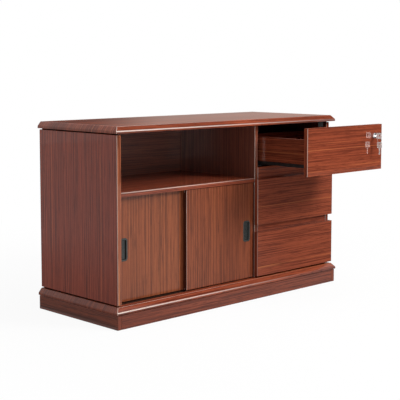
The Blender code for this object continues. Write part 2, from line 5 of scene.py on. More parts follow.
import bmesh
import bpy
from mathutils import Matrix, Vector

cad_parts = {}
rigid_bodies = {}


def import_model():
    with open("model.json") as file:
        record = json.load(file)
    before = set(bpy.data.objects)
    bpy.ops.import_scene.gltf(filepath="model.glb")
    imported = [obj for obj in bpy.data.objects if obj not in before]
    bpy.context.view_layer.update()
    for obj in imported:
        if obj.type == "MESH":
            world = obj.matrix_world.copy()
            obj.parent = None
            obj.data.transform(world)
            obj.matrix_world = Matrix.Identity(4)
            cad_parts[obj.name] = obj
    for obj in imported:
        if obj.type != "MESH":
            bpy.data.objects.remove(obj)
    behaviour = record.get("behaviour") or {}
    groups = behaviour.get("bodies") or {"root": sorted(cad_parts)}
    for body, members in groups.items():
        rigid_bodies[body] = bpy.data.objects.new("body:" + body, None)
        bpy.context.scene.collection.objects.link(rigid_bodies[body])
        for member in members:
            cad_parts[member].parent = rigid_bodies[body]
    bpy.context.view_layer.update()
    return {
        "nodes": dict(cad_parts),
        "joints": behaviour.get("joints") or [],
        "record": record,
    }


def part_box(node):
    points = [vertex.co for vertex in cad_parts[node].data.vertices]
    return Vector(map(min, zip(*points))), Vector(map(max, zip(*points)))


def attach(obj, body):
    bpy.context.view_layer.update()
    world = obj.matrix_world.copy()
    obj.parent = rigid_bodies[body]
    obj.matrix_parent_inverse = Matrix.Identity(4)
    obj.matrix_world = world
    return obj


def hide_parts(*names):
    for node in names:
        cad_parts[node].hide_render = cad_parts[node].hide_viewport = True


for leftover in list(bpy.data.objects):
    bpy.data.objects.remove(leftover, do_unlink=True)

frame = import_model()
scene = bpy.context.scene
scene.view_settings.view_transform = "Standard"
nodes = frame["nodes"]
record = frame["record"]
bodyOf = {node: body for body, members in record["behaviour"]["bodies"].items() for node in members}
print("frame loaded:", len(nodes), "nodes")


# Camera at the photo's eye point; the frame is square
cameraLook = {
    "eye": (-2.8300, -2.9410, 0.9201),
    "yaw": 44.143,      # degrees from +Y towards +X
    "pitch": 5.262,     # degrees below level
    "lens": 92.20,
    "sensor": 36.0,
    "shiftUp": -0.10,
}

cameraData = bpy.data.cameras.new("camera")
cameraData.sensor_width = cameraLook["sensor"]
cameraData.lens = cameraLook["lens"]
cameraData.shift_y = cameraLook["shiftUp"]
camera = bpy.data.objects.new("camera", cameraData)
camera.location = cameraLook["eye"]
camera.rotation_euler = (math.radians(90 - cameraLook["pitch"]), 0, math.radians(-cameraLook["yaw"]))
scene.collection.objects.link(camera)
scene.camera = camera


# Node helpers that the materials share
def addNode(tree, kind, **settings):
    node = tree.nodes.new(kind)
    for name, value in settings.items():
        setattr(node, name, value)
    return node


def feed(tree, socket, value):
    # links an output, or writes a plain value
    if isinstance(value, bpy.types.NodeSocket):
        tree.links.new(value, socket)
    else:
        socket.default_value = value


def feedAll(tree, node, values):
    for name, value in values.items():
        feed(tree, node.inputs[name], value)


def maths(tree, operation, first, second=0.0):
    node = addNode(tree, "ShaderNodeMath", operation=operation)
    feed(tree, node.inputs[0], first)
    feed(tree, node.inputs[1], second)
    return node.outputs[0]


def vectorMaths(tree, operation, first, second=(0, 0, 0)):
    node = addNode(tree, "ShaderNodeVectorMath", operation=operation)
    feed(tree, node.inputs[0], first)
    feed(tree, node.inputs[1], second)
    return node.outputs


noiseMiddle = 0.5       # the level that noise lies round


def streaks(tree, coords, layer, rough=0.55):
    # noise drawn out along the grain; waves per metre along and across it
    along, across = layer["waves"]
    noise = addNode(tree, "ShaderNodeTexNoise")
    feedAll(tree, noise, {
        "Vector": vectorMaths(tree, "MULTIPLY", coords, (along, across, across))["Vector"],
        "Scale": 1.0,
        "Detail": layer["detail"],
        "Roughness": layer.get("rough", rough),
    })
    return noise.outputs["Fac"]


def fade(tree, value, start, end, low=0.0, high=1.0):
    node = addNode(tree, "ShaderNodeMapRange", interpolation_type="SMOOTHSTEP")
    feedAll(tree, node, {"Value": value, "From Min": start, "From Max": end, "To Min": low, "To Max": high})
    return node.outputs["Result"]


def mixColour(tree, amount, first, second):
    node = addNode(tree, "ShaderNodeMix", data_type="RGBA")
    feed(tree, node.inputs["Factor"], amount)
    for socket, value in ((node.inputs[6], first), (node.inputs[7], second)):
        feed(tree, socket, value if isinstance(value, bpy.types.NodeSocket) else (*value, 1.0))
    return node.outputs[2]


def mixShaders(tree, amount, first, second):
    node = addNode(tree, "ShaderNodeMixShader")
    feed(tree, node.inputs["Fac"], amount)
    feed(tree, node.inputs[1], first)
    feed(tree, node.inputs[2], second)
    return node.outputs["Shader"]


def newMaterial(name):
    material = bpy.data.materials.new(name)
    material.use_nodes = True
    tree = material.node_tree
    return material, tree, tree.nodes["Principled BSDF"]


def objectCoords(tree, turn=(0, 0, 0), shift=(0, 0, 0), scale=(1, 1, 1)):
    coords = addNode(tree, "ShaderNodeTexCoord").outputs["Object"]
    mapping = addNode(tree, "ShaderNodeMapping")
    feedAll(tree, mapping, {"Vector": coords, "Scale": scale, "Rotation": turn, "Location": shift})
    return mapping.outputs["Vector"]


def bump(tree, shader, height, strength, distance):
    node = addNode(tree, "ShaderNodeBump")
    feedAll(tree, node, {"Height": height, "Strength": strength, "Distance": distance})
    feed(tree, shader.inputs["Normal"], node.outputs["Normal"])


# Red-brown veneer under a glossy lacquer, one cut of it for each grain direction and seed
veneerLook = {
    "mid": (0.320, 0.0680, 0.0310),
    "light": (0.375, 0.0840, 0.0380),
    "deep": (0.115, 0.0250, 0.0145),
    "orange": (0.560, 0.165, 0.060),
    "pore": (0.060, 0.014, 0.009),
    "arrisHighlight": (0.680, 0.480, 0.410),          # painted highlight on the arrises
    "lineHighlight": (0.900, 0.740, 0.660),      # painted highlight line along the noses
    "highlightShare": 0.90,
    "cutStep": (1.37, 0.73, 0.41),          # metres from one cut of the sheet to the next
    "wander": 0.004,                        # how far streaks drift sideways, metres
    "drift": {"waves": (1.1, 5.0), "detail": 2.0},
    # a single bright streak: half its width, its depth, and how it comes and goes along the grain
    "streak": {
        "half": 0.0024, "depth": 0.85,
        "waves": (4.0, 1.0), "detail": 1.0, "shows": (0.34, 0.56), "least": 0.45,
    },
    "roughShows": (0.35, 0.70),
    "roughness": (0.34, 0.46),              # between the lines and on them
    "coat": 0.70,
    "coatRoughness": 0.035,
    "specular": 0.0,
    "satinCoat": 0.35,
    "satinSpecular": 0.75,
    "poreBump": 0.05,
    "poreDepth": 0.0002,
}
# Layers of the figure from the bottom up: waves per metre along and across the grain, the noise between
# which each one shows, its depth and its tint. The depth of the bands is each board's own figure
grainLayers = {
    "clouds": {"waves": (0.6, 6.0), "detail": 1.5, "shows": (0.34, 0.66), "depth": 1.0, "tint": "light"},
    "bands": {"waves": (0.8, 7.0), "detail": 3.0, "rough": 0.6, "shows": (0.42, 0.62), "tint": "deep"},
    "lines": {
        "waves": (2.0, 280.0), "detail": 3.0, "rough": 0.62, "shows": (0.42, 0.64), "depth": 0.84,
        "tint": "deep",
    },
    "flecks": {"waves": (12.0, 300.0), "detail": 2.0, "shows": (0.54, 0.66), "depth": 0.60, "tint": "deep"},
    "bright": {"waves": (0.8, 115.0), "detail": 1.0, "shows": (0.69, 0.76), "depth": 0.50, "tint": "orange"},
    "pores": {"waves": (38.0, 1500.0), "detail": 1.0, "shows": (0.60, 0.70), "depth": 0.45, "tint": "pore"},
}
uprightLayers = {       # where upright grain differs
    "lines": {"waves": (1.2, 195.0), "depth": 0.74},
    "flecks": {"waves": (7.0, 260.0), "depth": 0.72},
}
grainTurn = {"X": (0, 0, 0), "Y": (0, 0, math.radians(-90)), "Z": (0, math.radians(90), 0)}


def toned(colour, tone):
    # tone is one share, or one for each channel
    shares = tone if isinstance(tone, tuple) else (tone, tone, tone)
    return tuple(channel * share for channel, share in zip(colour, shares))


def attribute(tree, name):
    return addNode(tree, "ShaderNodeAttribute", attribute_name=name).outputs["Fac"]


def veneer(grain, seed, tone=1.0, figure=0.0, wrapped=False, satin=False, streakAt=None):
    # figure darkens broad bands; wrapped draws the grain down over the mouldings; satin is the duller
    # lacquer inside; streakAt is the height of a single bright streak where the grain runs along X
    look = veneerLook
    material, tree, shader = newMaterial(f"veneer_{grain}_{seed}")
    shift = tuple(step * seed for step in look["cutStep"])
    coords = objectCoords(tree, grainTurn[grain], shift, (1, 1, 0 if wrapped else 1))
    drift = maths(tree, "SUBTRACT", streaks(tree, coords, look["drift"]), noiseMiddle)
    sideways = maths(tree, "MULTIPLY", drift, look["wander"] * 2)
    offset = addNode(tree, "ShaderNodeCombineXYZ")
    feedAll(tree, offset, {"Y": sideways, "Z": sideways})
    coords = vectorMaths(tree, "ADD", coords, offset.outputs["Vector"])["Vector"]

    noises = {}
    colour = toned(look["mid"], tone)
    for name, layer in grainLayers.items():
        if grain == "Z":
            layer = {**layer, **uprightLayers.get(name, {})}
        depth = layer.get("depth", figure)
        if depth:
            noises[name] = streaks(tree, coords, layer)
            shown = fade(tree, noises[name], *layer["shows"], 0.0, depth)
            colour = mixColour(tree, shown, colour, toned(look[layer["tint"]], tone))
    if streakAt is not None:
        streak = look["streak"]
        spot = addNode(tree, "ShaderNodeSeparateXYZ")
        feed(tree, spot.inputs["Vector"], coords)
        above = maths(tree, "SUBTRACT", spot.outputs["Z"], streakAt + shift[2])
        line = fade(tree, maths(tree, "ABSOLUTE", above), 0.0, streak["half"], streak["depth"], 0.0)
        comes = fade(tree, streaks(tree, coords, streak), *streak["shows"], streak["least"], 1.0)
        colour = mixColour(tree, maths(tree, "MULTIPLY", line, comes), colour, toned(look["orange"], tone))
    # painted highlights: a pale tint on the arrises and a paler line along the noses
    for mark, tint in (("arris", "arrisHighlight"), ("highlightLine", "lineHighlight")):
        highlighted = maths(tree, "MULTIPLY", attribute(tree, mark), look["highlightShare"])
        colour = mixColour(tree, highlighted, colour, look[tint])
    feedAll(tree, shader, {
        "Base Color": colour,
        "Roughness": fade(tree, noises["lines"], *look["roughShows"], *look["roughness"]),
        "Specular IOR Level": look["satinSpecular" if satin else "specular"],
        "Coat Weight": look["satinCoat" if satin else "coat"],
        "Coat Roughness": look["coatRoughness"],
    })
    bump(tree, shader, noises["pores"], look["poreBump"], look["poreDepth"])
    return material


# Metals and plastics: a clouded tone, an uneven shine and a faint texture
speckleLook = {
    "cloudDetail": 3.0, "gritDetail": 2.0, "shows": (0.3, 0.7), "specular": 0.5, "bumpDepth": 0.0002,
}


def speckled(name, look):
    material, tree, shader = newMaterial(name)
    coords = objectCoords(tree)
    shows = speckleLook["shows"]
    clouds = {"waves": (look["cloud"], look["cloud"]), "detail": speckleLook["cloudDetail"]}
    grit = streaks(tree, coords, {"waves": look["grit"], "detail": speckleLook["gritDetail"]})
    feedAll(tree, shader, {
        "Base Color": mixColour(tree, fade(tree, streaks(tree, coords, clouds), *shows), *look["tones"]),
        "Roughness": fade(tree, grit, *shows, *look["roughness"]),
        "Metallic": look["metallic"],
        "Specular IOR Level": look.get("specular", speckleLook["specular"]),
    })
    bump(tree, shader, grit, look["bump"], speckleLook["bumpDepth"])
    return material


darkSteel = speckled("dark_steel", {
    "tones": ((0.014, 0.013, 0.013), (0.026, 0.025, 0.024)), "cloud": 60.0, "grit": (900.0, 40.0),
    "roughness": (0.38, 0.52), "metallic": 0.4, "bump": 0.05,
})
chrome = speckled("lock_chrome", {
    "tones": ((0.78, 0.79, 0.81), (0.86, 0.86, 0.87)), "cloud": 300.0, "grit": (1500.0, 1500.0),
    "roughness": (0.06, 0.13), "metallic": 1.0, "bump": 0.01,
})
keyNickel = speckled("key_nickel", {
    "tones": ((0.70, 0.69, 0.68), (0.82, 0.81, 0.79)), "cloud": 400.0, "grit": (3000.0, 700.0),
    "roughness": (0.07, 0.13), "metallic": 0.50, "bump": 0.02,
})
pullBlack = speckled("pull_black", {
    "tones": ((0.042, 0.046, 0.042), (0.060, 0.065, 0.060)), "cloud": 120.0, "grit": (2600.0, 2600.0),
    "roughness": (0.14, 0.22), "metallic": 0.0, "bump": 0.04,
})
# painted shade: darker copies of the pull's plastic, for the floor of its cup and, darker still, for its
# walls
cupFloorShade = speckled("cup_floor_shade", {
    "tones": ((0.024, 0.027, 0.025), (0.035, 0.038, 0.035)), "cloud": 120.0, "grit": (2600.0, 2600.0),
    "roughness": (0.22, 0.32), "metallic": 0.0, "bump": 0.04,
})
cupWallShade = speckled("cup_wall_shade", {
    "tones": ((0.008, 0.009, 0.009), (0.014, 0.015, 0.014)), "cloud": 120.0, "grit": (2600.0, 2600.0),
    "roughness": (0.30, 0.42), "metallic": 0.0, "bump": 0.04, "specular": 0.2,
})
# painted shade: a near-black brown for the ledges and walls of the shadow gaps
gapShadeBrown = speckled("gap_shade_brown", {
    "tones": ((0.010, 0.005, 0.004), (0.018, 0.009, 0.006)), "cloud": 50.0, "grit": (900.0, 900.0),
    "roughness": (0.60, 0.75), "metallic": 0.0, "bump": 0.05, "specular": 0.0,
})
trackBrown = speckled("track_brown", {
    "tones": ((0.026, 0.012, 0.008), (0.040, 0.019, 0.013)), "cloud": 50.0, "grit": (1200.0, 1200.0),
    "roughness": (0.45, 0.60), "metallic": 0.0, "bump": 0.08, "specular": 0.08,
})
print("materials ready")


# Mesh helpers
hair = 1e-5         # points nearer than this are one
fitAir = 0.0003     # clearance round let-in pieces
squareOn = 0.99     # a face with more than this share of its normal one way looks straight that way
halfway = 0.5       # between in a face's plane and along its normal


def addObject(name, bm, *materials):
    mesh = bpy.data.meshes.new(name)
    bm.to_mesh(mesh)
    bm.free()
    for material in materials:
        mesh.materials.append(material)
    made = bpy.data.objects.new(name, mesh)
    scene.collection.objects.link(made)
    return made


def place(name, bm, node, *materials):
    # turns a bmesh into the piece that stands for a CAD node
    bmesh.ops.recalc_face_normals(bm, faces=bm.faces)
    piece = addObject(name, bm, *materials)
    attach(piece, bodyOf[node])
    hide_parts(node)
    return piece


def boardMesh():
    bm = bmesh.new()
    bm.faces.layers.float.new("arris")      # how strongly a face is painted pale: a painted highlight on the arris
    return bm


def boxMesh(low, high):
    bm = boardMesh()
    bmesh.ops.create_cube(bm, size=1.0)
    bmesh.ops.scale(bm, vec=high - low, verts=bm.verts)
    bmesh.ops.translate(bm, vec=(low + high) / 2, verts=bm.verts)
    return bm


def cornersOf(left, right, foot, head):
    return (left, foot), (right, foot), (right, head), (left, head)


def flatFace(bm, points):
    return bm.faces.new([bm.verts.new(point) for point in points])


def vertsOf(geom):
    return [part for part in geom if isinstance(part, bmesh.types.BMVert)]


def drawOut(bm, faces, along):
    grown = bmesh.ops.extrude_face_region(bm, geom=faces)["geom"]
    bmesh.ops.translate(bm, vec=along, verts=vertsOf(grown))


def sweep(outline, axis, start, end):
    # an outline in (Y, Z) drawn out along x, or in (X, Z) drawn out along y
    bm = boardMesh()
    if axis == "x":
        points = [(start, a, b) for a, b in outline]
        along = (end - start, 0, 0)
    else:
        points = [(a, start, b) for a, b in outline]
        along = (0, end - start, 0)
    drawOut(bm, [flatFace(bm, points)], along)
    return bm


def bevel(bm, geom, offset, steps, affect="EDGES", clamp=False):
    rounded = bmesh.ops.bevel(
        bm, geom=geom, offset=offset, segments=steps, profile=0.5, affect=affect,
        clamp_overlap=clamp, material=-1,
    )
    return rounded["faces"]


def ease(bm, edges, radius, steps=3, steepest=0.3, highlight=1.0):
    # rounds edges; new faces that look to the front left, and tilt less than steepest, are painted pale as a
    # highlight
    rounded = bevel(bm, edges, radius, steps, clamp=True)
    bm.normal_update()
    arris = bm.faces.layers.float.get("arris")
    leastTurn = 0.1
    for face in rounded:
        face.smooth = True
        if arris and abs(face.normal.z) < steepest and max(face.normal.x, face.normal.y) < -leastTurn:
            face[arris] = highlight


def paintHighlightLine(bm, shares, rises):
    # a painted highlight: a pale line along the rounded faces of a front edge, from the left share to the
    # right one;
    # those faces tilt upwards between the two rises, and corners shared with a flat face stay clean
    facing, endOn = 0.3, 0.9
    layer = bm.verts.layers.float.new("highlightLine")
    bm.normal_update()
    left, right = min(vert.co.x for vert in bm.verts), max(vert.co.x for vert in bm.verts)
    for face in bm.faces:
        if face.smooth and face.normal.y < -facing and rises[0] < face.normal.z < rises[1]:
            for vert in face.verts:
                if all(beside.smooth or abs(beside.normal.x) > endOn for beside in vert.link_faces):
                    vert[layer] = shares[0] + (shares[1] - shares[0]) * (vert.co.x - left) / (right - left)


def outerEdges(bm, leastTurn=math.radians(40)):
    bmesh.ops.recalc_face_normals(bm, faces=bm.faces)
    return [edge for edge in bm.edges if edge.calc_face_angle_signed(0.0) > leastTurn]


def largestFace(bm, direction):
    bm.normal_update()
    looking = [face for face in bm.faces if face.normal.dot(Vector(direction)) > squareOn]
    return max(looking, key=lambda face: face.calc_area())


def pocket(bm, face, low, high, depth, radius=0.0, steps=5):
    # sinks a rectangle into a four-cornered flat face and rounds its corners
    firstInset = 0.001      # any loop inside the face will do, as its corners are moved to the rectangle
    normal = face.normal.copy()
    bmesh.ops.inset_individual(bm, faces=[face], thickness=firstInset, depth=0.0)
    middle = face.calc_center_median()
    for vert in face.verts:
        for i in range(3):
            if abs(normal[i]) < halfway:
                vert.co[i] = high[i] if vert.co[i] > middle[i] else low[i]
    mouth = set(face.verts)
    bmesh.ops.inset_individual(bm, faces=[face], thickness=0.0, depth=-depth)
    if radius:
        floor = set(face.verts)
        uprights = [edge for edge in bm.edges if len(mouth.intersection(edge.verts)) == 1
                    and len(floor.intersection(edge.verts)) == 1]
        for wall in bevel(bm, uprights, radius, steps):
            wall.smooth = abs(wall.normal.dot(normal)) < halfway


def standOff(bm, direction, inset, rise):
    # a smaller tongue on one end, so that a shadow gap runs round it
    face = largestFace(bm, direction)
    ledge = bmesh.ops.inset_individual(bm, faces=[face], thickness=inset, depth=0.0)
    walls = bmesh.ops.inset_individual(bm, faces=[face], thickness=0.0, depth=rise)
    return ledge["faces"] + walls["faces"]


# Flat veneered boards; the ends of the grain are edge-banded
boardLook = {
    "arris": 0.0016,
    "steps": 3,
    "frontArris": 0.0005,   # drawer fronts are crisper on all but the two left upright edges
    "frontSteps": 2,
    "frontTurn": math.radians(80),      # only edges that are still square
    "gap": 0.0045,          # shadow gap where a side meets the top or the base
    "plinthGap": 0.002,
    "gapInset": 0.008,
    "facing": 0.7,          # how squarely a face looks one way
    "bandSeed": 50,         # added to a board's seed for its edge bands
    "faceSeed": 90,         # and for a face with a tone of its own
}
# gaps: -1 at the foot, 1 at the head. highlight: share of the painted highlight on the arris. lift: more air
# below. streak: height of
# the bright streak. face: one side with a tone of its own. banded: one side finished as the edge bands
boards = {
    "plinth_left": {"grain": "Y", "seed": 1, "tone": 0.79, "gaps": (1,), "highlight": 0.0},
    "plinth_right": {"grain": "Y", "seed": 2, "tone": 0.79, "gaps": (1,), "highlight": 0.0},
    "plinth_front": {"grain": "X", "seed": 3, "tone": 0.79, "gaps": (1,), "highlight": 0.0},
    "plinth_back": {"grain": "X", "seed": 4, "tone": 0.79, "gaps": (1,), "highlight": 0.0},
    "plinth_stretcher": {"grain": "Y", "seed": 5, "tone": 0.79},
    "left_side_panel": {
        "grain": "Z", "seed": 6, "tone": (1.20, 1.02, 1.15), "gaps": (-1, 1),
        "face": {"towards": (0, -1, 0), "tone": (1.37, 1.80, 1.68), "satin": False},
    },
    "right_side_panel": {
        "grain": "Z", "seed": 7, "gaps": (-1, 1),
        # painted shade: the inner face is a much darker copy of the veneer, as the inside of the carcass lies
        # in shade
        "face": {"towards": (-1, 0, 0), "tone": 0.30, "satin": True},
    },
    "centre_divider": {
        # painted shade and sheen: the tone darkens the divider's red and greys it, as the niche lies in shade
        # with a faint reflection
        "grain": "Z", "seed": 8, "tone": (0.68, 1.0, 1.35), "bandTone": 0.72, "satin": True,
        "face": {"towards": (0, -1, 0), "tone": (0.85, 1.05, 1.15), "satin": False},
    },
    "back_panel": {
        # painted sheen: the tone greys the back panel and dulls its red a little, as a faint reflection would
        "grain": "X", "seed": 9, "tone": (0.92, 1.40, 1.80), "bandTone": 1.0, "satin": True,
        "banded": (0, 1, 0),
    },
    "drawer_rail_lower": {"grain": "X", "seed": 10},
    "drawer_rail_upper": {"grain": "X", "seed": 11},
    "drawer_bottom_front": {
        "grain": "X", "seed": 12, "tone": 0.99, "streak": 0.1215, "highlight": 0.4, "lift": 0.006,
    },
    "drawer_middle_front": {"grain": "X", "seed": 13, "tone": 1.02, "streak": 0.3635},
    "drawer_top_front": {"grain": "X", "seed": 14, "tone": 1.06, "streak": 0.600},
    "drawer_bottom_back": {"grain": "X", "seed": 15},
    "drawer_middle_back": {"grain": "X", "seed": 16},
    # painted shade: the open top drawer's back and floor are darker copies of the veneer, as the inside of
    # the drawer lies in shade
    "drawer_top_back": {"grain": "X", "seed": 17, "tone": 0.55},
    "drawer_bottom_floor": {"grain": "Y", "seed": 18, "satin": True},
    "drawer_middle_floor": {"grain": "Y", "seed": 19, "satin": True},
    "drawer_top_floor": {"grain": "Y", "seed": 20, "tone": 0.5, "satin": True},
}


def looksTowards(face, direction):
    return face.normal.dot(Vector(direction)) > boardLook["facing"]


for node, board in boards.items():
    grain, seed, tone = board["grain"], board["seed"], board.get("tone", 1.0)
    low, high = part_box(node)
    gaps = board.get("gaps", ())
    gap = boardLook["plinthGap" if node.startswith("plinth") else "gap"]
    foot = low + Vector((0, 0, gap * (-1 in gaps) + board.get("lift", 0.0)))
    head = high - Vector((0, 0, gap * (1 in gaps)))
    bm = boxMesh(foot, head)
    edges = bm.edges[:]
    isDrawerFront = node.startswith("drawer") and node.endswith("front")
    if isDrawerFront:       # the full radius only on the two upright edges at the left
        edges = [edge for edge in edges if all(vert.co.x < low.x + hair for vert in edge.verts)
                 and abs(edge.verts[0].co.z - edge.verts[1].co.z) > hair]
    ease(bm, edges, boardLook["arris"], boardLook["steps"], highlight=board.get("highlight", 1.0))
    if isDrawerFront:
        ease(bm, outerEdges(bm, boardLook["frontTurn"]), boardLook["frontArris"], boardLook["frontSteps"])
    joint = [face for end in gaps for face in standOff(bm, (0, 0, end), boardLook["gapInset"], gap)]

    ends = "XYZ".index(grain)
    across = max((i for i in range(3) if i != ends), key=lambda i: high[i] - low[i])
    ownFace = board.get("face")
    bm.normal_update()
    for face in bm.faces:
        isBanded = "banded" in board and looksTowards(face, board["banded"])
        if isBanded or abs(face.normal[ends]) > boardLook["facing"]:
            face.material_index = 1
        elif ownFace and looksTowards(face, ownFace["towards"]):
            face.material_index = 2
    materials = [
        veneer(grain, seed, tone, satin=board.get("satin", False), streakAt=board.get("streak")),
        veneer("XYZ"[across], seed + boardLook["bandSeed"], board.get("bandTone", tone)),
    ]
    if ownFace:
        faceSeed = seed + boardLook["faceSeed"]
        materials.append(veneer(grain, faceSeed, ownFace["tone"], satin=ownFace["satin"]))
    # painted shade: each shadow gap's ledge and walls get the near-black brown
    if joint:
        for face in joint:
            face.material_index = len(materials)
        materials.append(gapShadeBrown)
    place(node + "_veneered", bm, node, *materials)
print("plain boards:", len(boards))


# Moulded top and base: a rounded nose, a sloped edge and a soft arris on the front and both ends
mouldLook = {
    "band": 0.0085,         # height of the nose
    "run": 0.014,           # from the nose in to the flat
    "footRadius": 0.0012,
    "noseRadius": 0.003,
    "arrisRadius": 0.0018,
    "cornerRadius": 0.0012,
    "cornerSteps": 3,
    "cornerSteepest": 0.9,
    "arcSteps": 5,
    "flatLeast": 0.0025,    # wider facets stay flat
    "highlightRises": (0.18, 0.70),
    "sharp": math.radians(40),
}
mouldedBoards = {   # highlighted: the painted highlight line on the nose at the left and right ends; below nought it has run out
    "top_board": {"seed": 21, "tone": 1.15, "figure": 0.55, "highlighted": (1.0, 0.05)},
    "base_board": {"seed": 22, "tone": 1.0, "figure": 0.0, "highlighted": (1.05, -0.25)},
}


def arc(corner, before, after, radius, steps):
    # points of a rounded corner between two neighbours, as a quadratic curve
    start = corner + (before - corner).normalized() * radius
    end = corner + (after - corner).normalized() * radius
    shares = [step / steps for step in range(steps + 1)]
    return [start * (1 - t) ** 2 + corner * 2 * t * (1 - t) + end * t ** 2 for t in shares]


def mouldProfile(look, thickness):
    # (in from the nose, up from the underside)
    under, foot = Vector((look["run"], 0)), Vector((0, 0))
    nose, brow = Vector((0, look["band"])), Vector((look["run"], thickness))
    flat = brow + Vector((look["run"], 0))
    steps = look["arcSteps"]
    return (
        arc(foot, under, nose, look["footRadius"], steps)
        + arc(nose, foot, brow, look["noseRadius"], steps)
        + arc(brow, nose, flat, look["arrisRadius"], steps)
    )


def mouldedMesh(low, high, highlighted):
    bm = boardMesh()

    def rim(inset, rise):
        corners = cornersOf(low.x + inset, high.x - inset, low.y + inset, high.y)
        return [Vector((x, y, low.z + rise)) for x, y in corners]

    first, *rest = mouldProfile(mouldLook, high.z - low.z)
    underside = face = flatFace(bm, rim(*first))
    for inset, rise in rest:
        grown = bmesh.ops.extrude_face_region(bm, geom=[face])["geom"]
        lifted = next(part for part in grown if isinstance(part, bmesh.types.BMFace))
        if face is not underside:
            bmesh.ops.delete(bm, geom=[face], context="FACES_ONLY")
        face = lifted
        for vert, point in zip(face.verts, rim(inset, rise)):
            vert.co = point
    bmesh.ops.recalc_face_normals(bm, faces=bm.faces)
    for side in bm.faces:
        narrow = min(edge.calc_length() for edge in side.edges) < mouldLook["flatLeast"]
        side.smooth = narrow and side.normal.y < squareOn

    def onMitre(vert, end, inwards):
        reach = (vert.co.x - end) * inwards
        return reach > -hair and abs(reach - (vert.co.y - low.y)) < hair

    for end, inwards in ((low.x, 1), (high.x, -1)):
        mitre = [edge for edge in bm.edges if all(onMitre(vert, end, inwards) for vert in edge.verts)]
        ease(
            bm, mitre, mouldLook["cornerRadius"], mouldLook["cornerSteps"],
            steepest=mouldLook["cornerSteepest"],
        )
    # painted highlight line along the nose
    paintHighlightLine(bm, highlighted, mouldLook["highlightRises"])
    return bm


for node, board in mouldedBoards.items():
    low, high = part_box(node)
    bm = mouldedMesh(low, high, board["highlighted"])
    if node == "base_board":
        trackLow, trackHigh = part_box("door_track_lower")
        around = Vector((fitAir, fitAir, 0))
        upper = largestFace(bm, (0, 0, 1))
        pocket(bm, upper, trackLow - around, trackHigh + around, trackHigh.z - trackLow.z)
    finish = veneer("X", board["seed"], board["tone"], board["figure"], wrapped=True)
    piece = place(node + "_moulded", bm, node, finish)
    piece.data.set_sharp_from_angle(angle=mouldLook["sharp"])
print("moulded boards:", len(mouldedBoards))


# Niche shelf, with a rounder arris in front and a groove below for the door track
shelfLook = {
    "seed": 23, "tone": 1.12, "frontRadius": 0.004, "steps": 4,
    "highlighted": (0.85, 0.3), "highlightRises": (0.2, 0.9),
}
low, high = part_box("shelf_board")
trackLow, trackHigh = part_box("door_track_upper")
near, far, roof = trackLow.y - fitAir, trackHigh.y + fitAir, trackHigh.z + fitAir
outline = [
    (low.y, low.z), (near, low.z), (near, roof), (far, roof), (far, low.z), (high.y, low.z),
    (high.y, high.z), (low.y, high.z),
]
bm = sweep(outline, "x", low.x, high.x)
frontArris = [edge for edge in bm.edges if all(vert.co.y < low.y + hair and vert.co.z > high.z - hair
                                               for vert in edge.verts)]
ease(bm, frontArris, shelfLook["frontRadius"], shelfLook["steps"])
# painted highlight: a pale line along the shelf's front arris
paintHighlightLine(bm, shelfLook["highlighted"], shelfLook["highlightRises"])
place("shelf_board_veneered", bm, "shelf_board", veneer("X", shelfLook["seed"], shelfLook["tone"]))
print("shelf")


# Drawer sides, grooved for the floor
# painted shade: the drawer sides are a darker copy of the veneer, as they stand in the shade of the carcass
sideLook = {"arris": 0.0010, "groove": 0.006, "tone": 0.74, "firstSeed": {"left": 24, "right": 27}}
for count, drawer in enumerate(("bottom", "middle", "top")):
    floorLow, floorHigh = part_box(f"drawer_{drawer}_floor")
    foot, head = floorLow.z - fitAir, floorHigh.z + fitAir
    for side, firstSeed in sideLook["firstSeed"].items():
        node = f"drawer_{drawer}_{side}_side"
        low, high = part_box(node)
        outer, inner = (low.x, high.x) if side == "left" else (high.x, low.x)
        groove = inner + math.copysign(sideLook["groove"], outer - inner)
        outline = [
            (outer, low.z), (inner, low.z), (inner, foot), (groove, foot),
            (groove, head), (inner, head), (inner, high.z), (outer, high.z),
        ]
        bm = sweep(outline, "y", low.y, high.y)
        ease(bm, outerEdges(bm), sideLook["arris"])
        place(node + "_veneered", bm, node, veneer("Y", firstSeed + count, sideLook["tone"]))
print("drawer sides")


